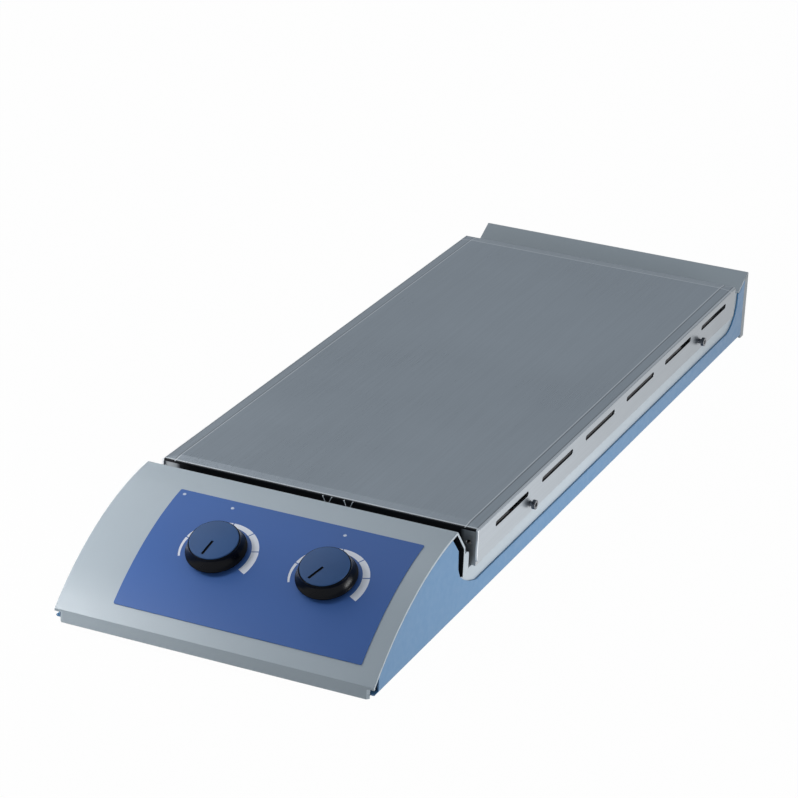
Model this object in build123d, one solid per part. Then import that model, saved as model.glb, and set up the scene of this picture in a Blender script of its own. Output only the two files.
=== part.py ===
"""Ten-position laboratory hotplate stirrer, modelled as an assembly.

A low painted steel base carries a long stainless hotplate.  A curved front
panel holds two knobs.  Ten magnet carriers under the hotplate are turned
together by one flat belt and one flat motor.
Millimetres, Z up, ground at Z 0, front edge of the panel at the -Y end.
"""
import math
import os

from build123d import *

# Overall size
length = 600.0
housing_width = 190.0
sheet = 1.5
pan_sheet = 1.0
foot_height = 6.0
foot_side_margin = 17.0
foot_end_margin = 28.0
lip_bottom = 4.0

# Curved front panel, distances behind the front edge
lip_top = 11.5
panel_radius = 167.0
peak_back = 104.0
peak_height = 58.3
panel_drop = 11.7
slope_end = 44.5

# Trough and rear ledge
base_gap = 7.5
corner_radius = 7.0
rear_radius = 22.0
rear_ledge = 18.5
rear_step = 42.0
rear_height = 51.5
return_width = 5.8
return_height = 12.0
side_gap_front = 7.9
rear_return = 6.0

# Hotplate unit
plate_front_gap = 10.3
plate_rear_gap = 17.5
plate_overhang = 3.0
cover_sheet = 1.2
margin_width = 8.5
margin_drop = 0.9
flange_depth = 21.3
flange_corner = 4.0
slot_front_margin = 25.3
slot_rear_margin = 19.4
slot_length = 48.3
slot_height = 3.2
slot_below_top = 7.5
screw_front_margin = 77.0
screw_rear_margin = 70.0
post_margin = 74.0
heating_thickness = 5.0
mat_thickness = 1.5
pad_thickness = 5.0
shield_thickness = 0.8
rotor_space = 16.0
tray_gap = 4.5
tray_sheet = 2.0
tray_side_gap = 6.8
end_recess = 1.5

# Stirring drive
row_margin = 39.0
column_pitch = 90.0
axle_diameter = 5.0
axle_base_height = 1.0
bearing_outer = 11.0
bearing_height = 5.0
pulley_core = 24.0
pulley_flange = 27.0
pulley_flange_height = 1.0
groove_height = 5.0
yoke_length = 54.0
yoke_width = 18.0
yoke_height = 2.0
yoke_bore = 9.0
keeper_ring_diameter = 12.0
magnet_diameter = 15.0
magnet_height = 4.5
magnet_offset = 18.5
motor_diameter = 36.0
motor_shaft_diameter = 4.0
belt_thickness = 1.2
belt_width = 4.5

# Controls
knob_back = 46.0
knob_pitch = 66.0
knob_side_margin = 39.0
knob_base = 34.4
knob_top = 28.8
knob_height = 10.2
cap_diameter = 27.4
cap_height = 1.6
shaft_diameter = 6.0
film_left_margin = 31.7
film_right_margin = 11.0
film_near = 7.7
film_far = 84.5
film_thickness = 0.25
film_glue = 0.16
lens_diameter = 2.0

# Boards
board_side_margin = 27.5
board_back = 44.0
board_length = 90.0
board_depth = 60.0
coil_inset = 20.0
panel_board_depth = 40.0

# Mains inlet and switch in the left side wall
inlet_back = 60.0
switch_back = 92.0
mains_height = 26.0
inlet_frame_height = 24.0

# Fits
seam = 0.1
running = 0.05
belt_gap = 0.3

# Derived positions
front = -length / 2
rear = length / 2
half_housing = housing_width / 2
wall_inner = half_housing - pan_sheet
cover_half = wall_inner - 0.2
pan_top = foot_height + pan_sheet
floor_under = pan_top + base_gap
floor_top = floor_under + sheet
tray_bottom = floor_top + tray_gap
tray_top = tray_bottom + tray_sheet
shield_bottom = tray_top + rotor_space
pad_bottom = shield_bottom + shield_thickness
mat_bottom = pad_bottom + pad_thickness
heating_bottom = mat_bottom + mat_thickness
heating_top = heating_bottom + heating_thickness
plate_top = heating_top + cover_sheet
step_back = length - rear_ledge
trough_front = peak_back + panel_drop
plate_front_back = trough_front + plate_front_gap
plate_rear_back = step_back - plate_rear_gap
plate_length = plate_rear_back - plate_front_back
plate_front = front + plate_front_back
plate_rear = plate_front + plate_length
plate_middle = (plate_front + plate_rear) / 2
plate_half = half_housing + plate_overhang
flange_inner = plate_half - cover_sheet
flange_bottom = plate_top - flange_depth
end_bottom = flange_bottom - 2.0
return_top = min(floor_top + return_height, end_bottom - 0.6)
tray_half = flange_inner - tray_side_gap
axle_base_top = tray_top + axle_base_height
bearing_top = axle_base_top + bearing_height
rotor_low = axle_base_top + 0.5
groove_low = rotor_low + pulley_flange_height
groove_high = groove_low + groove_height
yoke_low = groove_high + pulley_flange_height
yoke_high = yoke_low + yoke_height
magnet_high = yoke_high + magnet_height
column_x = column_pitch / 2
row_pitch = (plate_length - 2 * row_margin) / 4
row_ys = [plate_middle + row_pitch * k for k in (-2, -1, 0, 1, 2)]
belt_middle = (groove_low + groove_high) / 2
belt_inner = pulley_core / 2 + belt_gap
belt_outer = belt_inner + belt_thickness
wire_back = plate_front_back + 16.0
film_left = -half_housing + film_left_margin
film_right = half_housing - film_right_margin
speed_knob_x = film_right - knob_side_margin
heat_knob_x = speed_knob_x - knob_pitch

# Panel arc through the lip top and the peak
chord = math.hypot(peak_back, peak_height - lip_top)
chord_slope = math.atan2(peak_height - lip_top, peak_back)
half_angle = math.asin(chord / 2 / panel_radius)
arc_back = peak_back + panel_radius * math.sin(chord_slope - half_angle)
arc_height = peak_height - panel_radius * math.cos(chord_slope - half_angle)


def box(x0, x1, y0, y1, z0, z1):
    """Block between two corners."""
    return Pos((x0 + x1) / 2, (y0 + y1) / 2, (z0 + z1) / 2) * Box(x1 - x0, y1 - y0, z1 - z0)


def disc(x, y, z0, z1, diameter):
    """Upright cylinder."""
    return Pos(x, y, (z0 + z1) / 2) * Cylinder(diameter / 2, z1 - z0)


def ring(x, y, z0, z1, outer, inner):
    """Upright tube."""
    return disc(x, y, z0, z1, outer) - disc(x, y, z0 - 1, z1 + 1, inner)


def hex_post(x, y, z0, z1, across):
    """Upright hexagonal post."""
    outline = RegularPolygon(across / 2, 6, major_radius=False)
    return Pos(x, y, z0) * extrude(outline, z1 - z0)


def cross_disc(x0, x1, y, z, diameter):
    """Cylinder along X."""
    return Pos((x0 + x1) / 2, y, z) * Rot(0, 90, 0) * Cylinder(diameter / 2, x1 - x0)


def side_plate(outline, x0, x1):
    """Side outline in distance behind the front edge and height, spread over x0 to x1."""
    return Pos(x0, front, 0) * extrude(Plane.YZ * outline, x1 - x0)


def polygon(*points):
    """Closed face through the points."""
    return make_face(Polyline(*points, close=True))


def both_sides(shape):
    """The shape and its mirror image across the middle plane."""
    return [shape, mirror(shape, about=Plane.YZ)]


def panel_z(back, drop=0.0):
    """Height of the panel at a distance behind the front edge, drop below its face."""
    return arc_height + math.sqrt((panel_radius - drop) ** 2 - (back - arc_back) ** 2)


def panel_plane(x, back):
    """Plane on the panel's outer face with its normal."""
    rise = panel_z(back)
    normal = (0, (back - arc_back) / panel_radius, (rise - arc_height) / panel_radius)
    return Plane(origin=(x, front + back, rise), x_dir=(1, 0, 0), z_dir=normal)


def panel_arc(radius, back0, back1):
    """Arc about the panel's centre between two distances behind the front edge."""
    middle = (back0 + back1) / 2
    points = []
    for back in (back0, middle, back1):
        points.append((back, arc_height + math.sqrt(radius ** 2 - (back - arc_back) ** 2)))
    return ThreePointArc(*points)


def save(name, *shapes):
    """Write one sub-part, made of one or more solids."""
    solids = []
    for shape in shapes:
        solids.extend(shape.solids())
    export_step(Compound(label=name, children=solids), "parts/" + name + ".step")


os.makedirs("parts", exist_ok=True)
knob_sites = {"heat": panel_plane(heat_knob_x, knob_back), "speed": panel_plane(speed_knob_x, knob_back)}
lamp_sites = [(film_left + 4.0, 80.5), (heat_knob_x - 7.3, 78.0), (speed_knob_x - 4.8, 77.3)]
wall_low = floor_top + 1.3
joggle_low = wall_low + 9.7
joggle_high = joggle_low + 4.0
strip_top = slope_end - 4.0
strip_corner = 3.0

# Top cover: lip, panel, drop to the trough, trough floor, rear ledge and rear wall in one sheet
tilt = math.degrees(chord_slope + half_angle)
panel_curve = CenterArc((arc_back, arc_height), panel_radius, 90 + tilt, -2 * math.degrees(half_angle))
rest = FilletPolyline(
    (peak_back, peak_height),
    (trough_front, slope_end),
    (trough_front, floor_top),
    (step_back, floor_top),
    (step_back, rear_step),
    (length, rear_height),
    (length, lip_bottom),
    radius=[3.0, corner_radius, rear_radius, 2.0, 1.8],
)
cover_line = Wire([Line((0, lip_bottom), (0, lip_top)), panel_curve] + rest.edges())
cover_outline = make_face(cover_line.offset_2d(sheet, side=Side.RIGHT, closed=True).edges())
top_cover = side_plate(cover_outline, -half_housing, half_housing)
return_start = length - rear_return
joggle_y = front + trough_front + 14.3
narrow = box(cover_half, half_housing + 1, joggle_y, front + return_start, 0, slope_end - 1)
narrow -= box(0, half_housing + 2, front + length / 2, front + length, rear_step - 1.3, rear_height)
narrow += box(cover_half, half_housing + 1, front + trough_front - 4, joggle_y, 0, joggle_low)
top_cover -= both_sides(narrow)
return_line = FilletPolyline(
    (trough_front - sheet / 2, joggle_high),
    (trough_front - sheet / 2, floor_top - sheet / 2),
    (step_back + sheet / 2, floor_top - sheet / 2),
    (step_back + sheet / 2, rear_step - 0.6),
    radius=[corner_radius + sheet / 2, rear_radius + sheet / 2],
)
return_edge = Polyline(
    (step_back + sheet / 2, rear_step - 0.6),
    (plate_rear_back - 0.5, rear_step - 0.6),
    (plate_rear_back - 0.5, return_top),
    (trough_front + return_width + 1.5, return_top),
    (trough_front + return_width, joggle_high),
    (trough_front - sheet / 2, joggle_high),
)
floor_return = make_face(Wire(return_line.edges() + return_edge.edges()))
top_cover += both_sides(side_plate(floor_return, cover_half - sheet, cover_half))
strip_back = trough_front + return_width
strip = polygon(
    (trough_front - sheet, joggle_low),
    (strip_back, joggle_low),
    (strip_back, strip_top - strip_corner),
    (strip_back - strip_corner, strip_top),
    (trough_front - sheet, strip_top),
)
strip += Pos(strip_back - strip_corner, strip_top - strip_corner) * Circle(strip_corner)
top_cover += both_sides(side_plate(strip, cover_half, half_housing))
lean = (rear_height - rear_step) / rear_ledge
wall_return = polygon(
    (return_start, lip_bottom),
    (length - sheet / 2, lip_bottom),
    (length - sheet / 2, rear_height - lean * 2 * sheet - sheet),
    (return_start, rear_height - lean * (rear_return + sheet) - sheet + 0.4),
)
top_cover += both_sides(side_plate(wall_return, half_housing - sheet, half_housing))
lip_relief = Pos(half_housing, front, lip_bottom) * Rot(0, 0, 45) * Box(6, 6, 2 * (lip_top - lip_bottom) - 3)
top_cover -= both_sides(lip_relief)
for site in knob_sites.values():
    top_cover -= site * Cylinder(3.6, 12)
for lamp_x, lamp_back in lamp_sites:
    top_cover -= panel_plane(lamp_x, lamp_back) * Cylinder(lens_diameter / 2, 8)
top_cover -= disc(0, row_ys[0], floor_under - 1, floor_top + 1, motor_diameter + 2)
top_cover -= disc(0, front + wire_back, floor_under - 1, floor_top + 1, 5.6)
save("top_cover", top_cover)

# Base pan: bottom sheet and two side walls cut out along the trough
pan_front = sheet + 0.3
pan_rear = length - sheet - 0.3
wall_front = 6.0
wall_rear = return_start - 0.3
gap_edge = trough_front - sheet - side_gap_front
gap_top = gap_edge - 9.0
rear_face = step_back - 0.5
wall_radius = rear_radius - 2.0
under_step = rear_step - 1.6
under_rear = rear_step + lean * (wall_rear - step_back) - sheet * math.hypot(1, lean) - 0.3
pan_arc = panel_arc(panel_radius - sheet - seam, wall_front, gap_top)
low_arc = [(rear_face - wall_radius, wall_low), (rear_face, wall_low + wall_radius)]
swing = wall_radius * (1 - math.sqrt(0.5))
pan_lines = [
    Polyline(
        (gap_top, pan_arc.edges()[0].end_point().Y),
        (gap_edge, slope_end + 1.5),
        (gap_edge + 0.9, wall_low + 17.1),
        (gap_edge + 3.9, wall_low + 11.6),
        (gap_edge + 10.1, wall_low + 7.2),
        (gap_edge + 19.0, wall_low + 2.9),
        (gap_edge + 28.0, wall_low),
        low_arc[0],
    ),
    ThreePointArc(low_arc[0], (rear_face - swing, wall_low + swing), low_arc[1]),
    Polyline(low_arc[1], (rear_face, under_step), (rear_face + 2.2, under_step)),
    Polyline(
        (rear_face + 2.2, under_step),
        (wall_rear, under_rear),
        (wall_rear, pan_top),
        (pan_rear, pan_top),
        (pan_rear, foot_height),
        (pan_front, foot_height),
        (pan_front, pan_top),
        (wall_front, pan_top),
        (wall_front, panel_z(wall_front, sheet + seam)),
    ),
]
pan_outline = make_face(Wire([pan_arc.edges()[0]] + [edge for line in pan_lines for edge in line.edges()]))
pan_block = Pos(0, 0, foot_height + peak_height / 2) * Box(housing_width, length, peak_height)
pan_block = fillet(pan_block.edges().filter_by(Axis.Y).group_by(Axis.Z)[0], 1.0)
pan_block -= box(-wall_inner, wall_inner, -length, length, pan_top, 2 * peak_height)
base_pan = side_plate(pan_outline, -half_housing, half_housing) & pan_block
return_inner = half_housing - sheet - 0.2
base_pan -= both_sides(box(return_inner, half_housing + 1, front + wall_rear, rear, 0, rear_height))
inlet_y = front + inlet_back
switch_y = front + switch_back
inlet_wide, inlet_high = 27.0, 19.6
switch_wide, switch_high = 14.8, 19.0
base_pan -= Pos(-half_housing, inlet_y, mains_height) * Box(8, inlet_wide + 0.2, inlet_high + 0.2)
base_pan -= Pos(-half_housing, switch_y, mains_height) * Box(8, switch_wide + 0.2, switch_high + 0.2)
post_x = half_housing - 35.0
post_ys = (plate_front + post_margin, plate_middle, plate_rear - post_margin)
post_sites = [(x, y) for x in (-post_x, post_x) for y in post_ys]
for x, y in post_sites:
    base_pan -= disc(x, y, foot_height - 1, pan_top + 1, 3.2)
foot_x = half_housing - foot_side_margin
foot_ys = (front + foot_end_margin, 0.0, rear - foot_end_margin)
foot_sites = [(x, y) for x in (-foot_x, foot_x) for y in foot_ys]
save("base_pan", base_pan)
save("rubber_feet", *[disc(x, y, 0, foot_height, 16) for x, y in foot_sites])
standoffs = []
bottom_screws = []
for x, y in post_sites:
    standoffs.append(hex_post(x, y, pan_top, floor_under, 7) - disc(x, y, 0, 90, 3))
    head = disc(x, y, foot_height - 1.4, foot_height, 5.5)
    bottom_screws.append(head + disc(x, y, foot_height, floor_under - 1, 3))
save("floor_standoffs", *standoffs)
save("housing_screws", *bottom_screws)

# Hotplate cover: flat top with sloping margins and two slotted side flanges


def raised_block(half_x, low, high):
    """Block with a top that slopes down at all four margins."""
    inset = half_x - (plate_half - margin_width)
    body = box(-half_x, half_x, plate_front, plate_rear, 0, low)
    skirt = Plane(origin=(0, plate_middle, low)) * Rectangle(2 * half_x, plate_length)
    crown_size = (2 * (half_x - inset), plate_length - 2 * margin_width)
    crown = Plane(origin=(0, plate_middle, high)) * Rectangle(*crown_size)
    return body + loft([skirt, crown])


margin_top = plate_top - margin_drop
margin_under = margin_top - cover_sheet
cover = raised_block(plate_half, margin_top, plate_top)
shoulder = cover.edges().filter_by(Axis.Y).group_by(Axis.Z)[-2]
cover = fillet(shoulder, 1.5)
cover -= box(-plate_half - 1, plate_half + 1, plate_front - 1, plate_rear + 1, -1, flange_bottom)
cover -= raised_block(flange_inner, margin_under, heating_top)
first_slot = plate_front + slot_front_margin + slot_length / 2
last_slot = plate_rear - slot_rear_margin - slot_length / 2
for k in range(6):
    slot_y = first_slot + k * (last_slot - first_slot) / 5
    slot_place = Plane.YZ.offset(-plate_half - 1) * Pos(slot_y, plate_top - slot_below_top)
    cover -= extrude(slot_place * SlotOverall(slot_length, slot_height), 2 * plate_half + 2)
block_z = flange_bottom + 6.0
screw_ys = [plate_front + screw_front_margin, plate_rear - screw_rear_margin]
for screw_y in screw_ys:
    cover -= cross_disc(-plate_half - 1, plate_half + 1, screw_y, block_z, 4.2)
corner_y = plate_front + flange_corner
corner_z = flange_bottom + flange_corner
corner_tool = box(-plate_half - 1, plate_half + 1, plate_front - 1, corner_y, flange_bottom - 1, corner_z)
corner_tool -= cross_disc(-plate_half - 2, plate_half + 2, corner_y, corner_z, 2 * flange_corner)
save("plate_cover", cover - corner_tool)

# End sheets of the hotplate unit with folded ears


def end_sheet(direction, edge_y):
    """End sheet set back from an edge; direction is +1 at the front and -1 at the rear."""
    near = edge_y + direction * end_recess
    far = near + direction * sheet
    ear = far + direction * 8.0
    y0, y1 = sorted((near, far))
    face = box(-flange_inner, flange_inner, y0, y1, end_bottom, margin_under)
    y0, y1 = sorted((far, ear))
    face += both_sides(box(flange_inner - sheet, flange_inner, y0, y1, end_bottom, margin_under))
    hole = Pos(flange_inner - 4.8, near, plate_top - 10.1) * Rot(90, 0, 0) * Cylinder(1.5, 8)
    return face - both_sides(hole)


save("plate_front_end", end_sheet(1, plate_front))
save("plate_rear_end", end_sheet(-1, plate_rear))

# Heating stack under the cover
stack_half_x = plate_half - 11.0
stack_half_y = plate_length / 2 - 11.0
stack_near = plate_middle - stack_half_y
stack_far = plate_middle + stack_half_y
thermostat_y = plate_middle
wire_y = front + wire_back
heating_plate = box(-stack_half_x, stack_half_x, stack_near, stack_far, heating_bottom, heating_top)
sensor_z = (heating_bottom + heating_top) / 2
sensor_end = stack_near + 46.0
sensor_start = stack_near - 3.0
sensor_hole = Pos(36, sensor_end - 30, sensor_z) * Rot(90, 0, 0) * Cylinder(1.6, 60)
save("heating_plate", heating_plate - sensor_hole)
sensor = Pos(36, (sensor_start + sensor_end) / 2 - 0.1, sensor_z) * Rot(90, 0, 0)
save("plate_sensor", sensor * Cylinder(1.5, sensor_end - sensor_start - 0.2))


def layer(z0, z1, inset, *holes):
    """Flat layer of the stack with holes given as x, y and diameter."""
    half_x = stack_half_x + 1.0 - inset
    half_y = stack_half_y + 1.0 - inset
    body = box(-half_x, half_x, plate_middle - half_y, plate_middle + half_y, z0, z1)
    for x, y, diameter in holes:
        body -= disc(x, y, z0 - 1, z1 + 1, diameter)
    return body


thermostat_hole = (0, thermostat_y, 20)
wire_hole = (0, wire_y, 5.0)
save("heater_mat", layer(mat_bottom, heating_bottom, 2.0, thermostat_hole))
save("insulation_pad", layer(pad_bottom, mat_bottom, 0.0, thermostat_hole, wire_hole))
thermostat = disc(0, thermostat_y, pad_bottom, heating_bottom - 1.0, 15)
thermostat += disc(0, thermostat_y, pad_bottom, heating_bottom, 10)
save("limit_thermostat", thermostat)
tray_near = plate_front + end_recess + sheet + 1.0
tray_far = plate_rear - end_recess - sheet - 1.0
shield = box(-tray_half, tray_half, tray_near, tray_far, shield_bottom, pad_bottom)
save("heat_shield", shield - disc(0, wire_y, shield_bottom - 1, pad_bottom + 1, 5.0))

# Drive tray, posts, side blocks and flange screws
tray = box(-tray_half, tray_half, tray_near, tray_far, tray_bottom, shield_bottom)
tray -= box(-tray_half + sheet, tray_half - sheet, tray_near - 1, tray_far + 1, tray_top, shield_bottom + 1)
axle_sites = [(x, y) for y in row_ys for x in (-column_x, column_x)]
for axle_x, axle_y in axle_sites:
    tray -= disc(axle_x, axle_y, tray_bottom - 1, tray_top + 1, axle_diameter + 0.1)
tray -= disc(0, row_ys[0], tray_bottom - 1, tray_top + 1, 8)
tray -= disc(0, wire_y, tray_bottom - 1, tray_top + 1, 6)
save("drive_tray", tray)
pillar_x = tray_half - sheet - 8.0
pillar_ys = [(low + high) / 2 for low, high in zip(row_ys, row_ys[1:])]
pillar_sites = [(x, y) for x in (-pillar_x, 0, pillar_x) for y in pillar_ys]
save("support_pillars", *[hex_post(x, y, tray_top, shield_bottom, 6) for x, y in pillar_sites])
spacer_x = tray_half - 20.0
spacer_sites = [(x, y) for x in (-spacer_x, spacer_x) for y in (screw_ys[0], plate_middle, screw_ys[1])]
save("tray_spacers", *[hex_post(x, y, floor_top, tray_bottom, 10) for x, y in spacer_sites])
screw_neck = plate_half + 1.8
screw_end = screw_neck + 2.0
blocks = []
screws = []
for screw_y in screw_ys:
    block_top = min(block_z + 4, shield_bottom)
    block = box(tray_half, flange_inner, screw_y - 7, screw_y + 7, block_z - 4, block_top)
    block -= cross_disc(tray_half + 0.8, flange_inner + 1, screw_y, block_z, 4.0)
    blocks.extend(both_sides(block))
    screw = cross_disc(tray_half + 0.8, plate_half, screw_y, block_z, 4.0)
    screw += cross_disc(plate_half, screw_neck, screw_y, block_z, 3.0)
    screw += cross_disc(screw_neck, screw_end, screw_y, block_z, 5.6)
    socket = extrude(RegularPolygon(1.5, 6), 1.2, both=True)
    socket = Pos(screw_end, screw_y, block_z) * Rot(0, 90, 0) * socket
    screws.extend(both_sides(screw - socket))
save("plate_side_blocks", *blocks)
save("flange_screws", *screws)

# Axles, bearings, rings and the ten magnet carriers
axle_top = yoke_high + 1.5
axles = []
bearings = []
rings = []
for axle_x, axle_y in axle_sites:
    axle = disc(axle_x, axle_y, tray_bottom, axle_top, axle_diameter)
    axles.append(axle + disc(axle_x, axle_y, tray_top, axle_base_top, 9))
    bearings.append(ring(axle_x, axle_y, axle_base_top, bearing_top, bearing_outer, axle_diameter))
    rings.append(ring(axle_x, axle_y, yoke_high + 0.1, yoke_high + 0.9, keeper_ring_diameter, axle_diameter))


def pulley(x, y, z0):
    """Grooved belt wheel standing on z0."""
    z1 = z0 + pulley_flange_height
    z2 = z1 + groove_height
    body = disc(x, y, z0, z2 + pulley_flange_height, pulley_core)
    body += disc(x, y, z0, z1, pulley_flange)
    return body + disc(x, y, z2, z2 + pulley_flange_height, pulley_flange)


for number, (axle_x, axle_y) in enumerate(axle_sites, start=1):
    wheel = pulley(axle_x, axle_y, rotor_low)
    yoke = Pos(axle_x, axle_y, (yoke_low + yoke_high) / 2) * Box(yoke_length, yoke_width, yoke_height)
    wheel -= disc(axle_x, axle_y, 0, bearing_top + 0.1, bearing_outer + 2 * running)
    bore = disc(axle_x, axle_y, 0, yoke_high + 1, yoke_bore)
    magnets = []
    for side in (-1, 1):
        magnets.append(disc(axle_x + side * magnet_offset, axle_y, yoke_high, magnet_high, magnet_diameter))
    save("stir_rotor_%02d" % number, wheel - bore, yoke - bore, *magnets)

# Motor, its belt wheel, the tensioning roller and the belt
motor_y = row_ys[0]
motor_bottom = pan_top + 1.0
motor_case = disc(0, motor_y, motor_bottom, tray_bottom, motor_diameter)
motor_case -= disc(0, motor_y, motor_bottom + 3, tray_bottom + 1, motor_shaft_diameter + 2 * running)
save("motor_case", motor_case)
save("motor_shaft", disc(0, motor_y, motor_bottom + 3.2, yoke_low + 0.5, motor_shaft_diameter))
save("motor_pulley", pulley(0, motor_y, rotor_low) - disc(0, motor_y, 0, 90, motor_shaft_diameter))
save("motor_seal", ring(0, motor_y, floor_top, floor_top + 1.5, motor_diameter + 4, motor_diameter + 0.1))
idler_y = row_ys[-1]
idler_bracket = box(-9, 9, idler_y - 26, idler_y + 14, tray_top, axle_base_top)
idler_bracket -= box(-2.2, 2.2, idler_y - 21, idler_y - 9, 0, 90)
save("idler_bracket", idler_bracket)
axles.append(disc(0, idler_y, axle_base_top, axle_top, axle_diameter))
save("idler_roller", pulley(0, idler_y, rotor_low) - disc(0, idler_y, 0, 90, axle_diameter + 2 * running))
rings.append(ring(0, idler_y, yoke_low + 0.1, yoke_low + 0.9, keeper_ring_diameter, axle_diameter))
save("rotor_axles", *axles)
save("rotor_bearings", *bearings)
save("retaining_rings", *rings)
belt_x = column_x + belt_outer
belt_y = 2 * row_pitch + belt_outer
belt_face = RectangleRounded(2 * belt_x, 2 * belt_y, belt_outer)
belt_face -= RectangleRounded(2 * (belt_x - belt_thickness), 2 * (belt_y - belt_thickness), belt_inner)
save("drive_belt", Pos(0, plate_middle, belt_middle - belt_width / 2) * extrude(belt_face, belt_width))

# Control film on the panel
film_middle = panel_plane((film_left + film_right) / 2, knob_back)
near_point = film_middle.to_local_coords(Vector(0, front + film_near, panel_z(film_near)))
far_point = film_middle.to_local_coords(Vector(0, front + film_far, panel_z(film_far)))
film_shell = panel_arc(panel_radius + film_glue, 2, peak_back - 2)
film_over = panel_arc(panel_radius + film_glue + film_thickness, 2, peak_back - 2)
film_ends = [
    Line(film_shell @ 0, film_over @ 0),
    Line(film_shell @ 1, film_over @ 1),
]
film_edges = film_shell.edges() + film_over.edges() + [end.edges()[0] for end in film_ends]
film = side_plate(make_face(Wire(film_edges)), -half_housing + 4, half_housing - 4)
film_shape = RectangleRounded(film_right - film_left, far_point.Y - near_point.Y, 1.0)
film &= film_middle * Pos(0, (near_point.Y + far_point.Y) / 2, -40) * extrude(film_shape, 80)
for site in knob_sites.values():
    film -= site * Cylinder(8, 10)
lenses = []
for lamp_x, lamp_back in lamp_sites:
    lamp_plane = panel_plane(lamp_x, lamp_back)
    film -= lamp_plane * Cylinder(lens_diameter / 2, 8)
    lenses.append(lamp_plane * Pos(0, 0, -0.85) * Cylinder(lens_diameter / 2, 2.8))
save("control_film", film)
save("indicator_lenses", *lenses)

# Knobs, shafts and rotary controls
pot_top = -sheet - 0.35
pot_depth = 8.0
knob_low = 0.7
knob_widest = 2.6
recess_top = 5.0
board_top = pot_top - pot_depth
pointer_angles = {"heat": 165, "speed": 155}
pots = []
nuts = []
for name, site in knob_sites.items():
    skirt_outline = Polyline(
        (8.0, knob_low),
        (knob_base / 2 - 1.8, knob_low),
        (knob_base / 2, knob_widest),
        (knob_base / 2, knob_widest + 0.5),
        (knob_top / 2, knob_height - 1.0),
        (knob_top / 2, knob_height - 0.6),
        (cap_diameter / 2, knob_height - 0.6),
        (cap_diameter / 2, knob_height - cap_height),
        (0, knob_height - cap_height),
        (0, recess_top),
        (8.0, recess_top),
        close=True,
    )
    skirt = revolve(Plane.XZ * make_face(skirt_outline), Axis.Z)
    skirt -= Cylinder(shaft_diameter / 2, 2 * (knob_height - cap_height - 1.0))
    cap = Pos(0, 0, knob_height - cap_height / 2) * Cylinder(cap_diameter / 2 - 0.02, cap_height)
    groove = Pos(0, 5.4, knob_height) * Box(1.9, 8.0, 1.4)
    turned = site * Rot(0, 0, pointer_angles[name])
    save(name + "_knob_skirt", turned * skirt)
    save(name + "_knob_cap", turned * (cap - groove))
    shaft_high = knob_height - cap_height - 1.0
    shaft_low = pot_top - 4
    save(name + "_pot_shaft", site * disc(0, 0, shaft_low, shaft_high, shaft_diameter))
    pot = Pos(0, 0, pot_top - pot_depth / 2) * Box(17, 17, pot_depth)
    pot += Pos(0, 0, (pot_top - 1 + 3.6) / 2) * Cylinder(3.5, 3.6 - pot_top + 1)
    pot -= Pos(0, 0, pot_top + 20 - 4.2) * Cylinder(shaft_diameter / 2 + running, 40)
    pots.append(site * pot)
    nut = extrude(RegularPolygon(5, 6, major_radius=False), 2) - Cylinder(3.5, 20)
    nuts.append(site * Pos(0, 0, 0.02) * nut)
save("potentiometers", *pots)
save("potentiometer_nuts", *nuts)
board_middle = panel_plane((heat_knob_x + speed_knob_x) / 2, knob_back)
board_wide = speed_knob_x - heat_knob_x + 44
control_board = board_middle * Pos(0, 0, board_top - 0.8) * Box(board_wide, panel_board_depth, 1.6)
save("control_board", control_board)

# Power board, transformer and wiring in the front compartment
board_low = pan_top + 4.0
board_high = board_low + 1.6
board_x0 = -wall_inner + board_side_margin
board_x1 = board_x0 + board_length
board_y0 = front + board_back
board_y1 = board_y0 + board_depth
save("power_board", box(board_x0, board_x1, board_y0, board_y1, board_low, board_high))
corner_sites = [(x, y) for x in (board_x0 + 5, board_x1 - 5) for y in (board_y0 + 5, board_y1 - 5)]
save("board_standoffs", *[hex_post(x, y, pan_top, board_low, 6) for x, y in corner_sites])
coil_y = board_y1 - coil_inset
coil = box(board_x0 + 12, board_x0 + 46, coil_y - 13, coil_y + 13, board_high, board_high + 19)
capacitor = disc(board_x1 - 16, board_y1 - 18, board_high, board_high + 16, 13)
terminals = box(board_x0 + 50, board_x0 + 68, board_y1 - 12, board_y1 - 4, board_high, board_high + 9)
save("power_components", coil, capacitor, terminals)
wire_z = pan_top + 2.2
wire_start = (0, board_y1 + 2, wire_z)
heater_path = FilletPolyline(wire_start, (0, wire_y, wire_z), (0, wire_y, mat_bottom), radius=8.0)
heater_start = Plane(origin=wire_start, z_dir=(0, 1, 0))
heater_wire = sweep(heater_start * Circle(2.0), path=heater_path)
motor_wire_end = motor_y - motor_diameter / 2 + 1.4
motor_wire = Pos(9, (board_y1 + 2 + motor_wire_end) / 2, wire_z + 0.4) * Rot(90, 0, 0)
motor_wire = motor_wire * Cylinder(1.5, motor_wire_end - board_y1 - 2)
save("supply_wiring", heater_wire, motor_wire)

# Mains inlet with its three pins


def wall_block(inner_x, y, wide, high):
    """Block from the left wall's outer face inwards, round the mains height."""
    low = mains_height - high / 2
    return box(-half_housing, inner_x, y - wide / 2, y + wide / 2, low, low + high)


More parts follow.
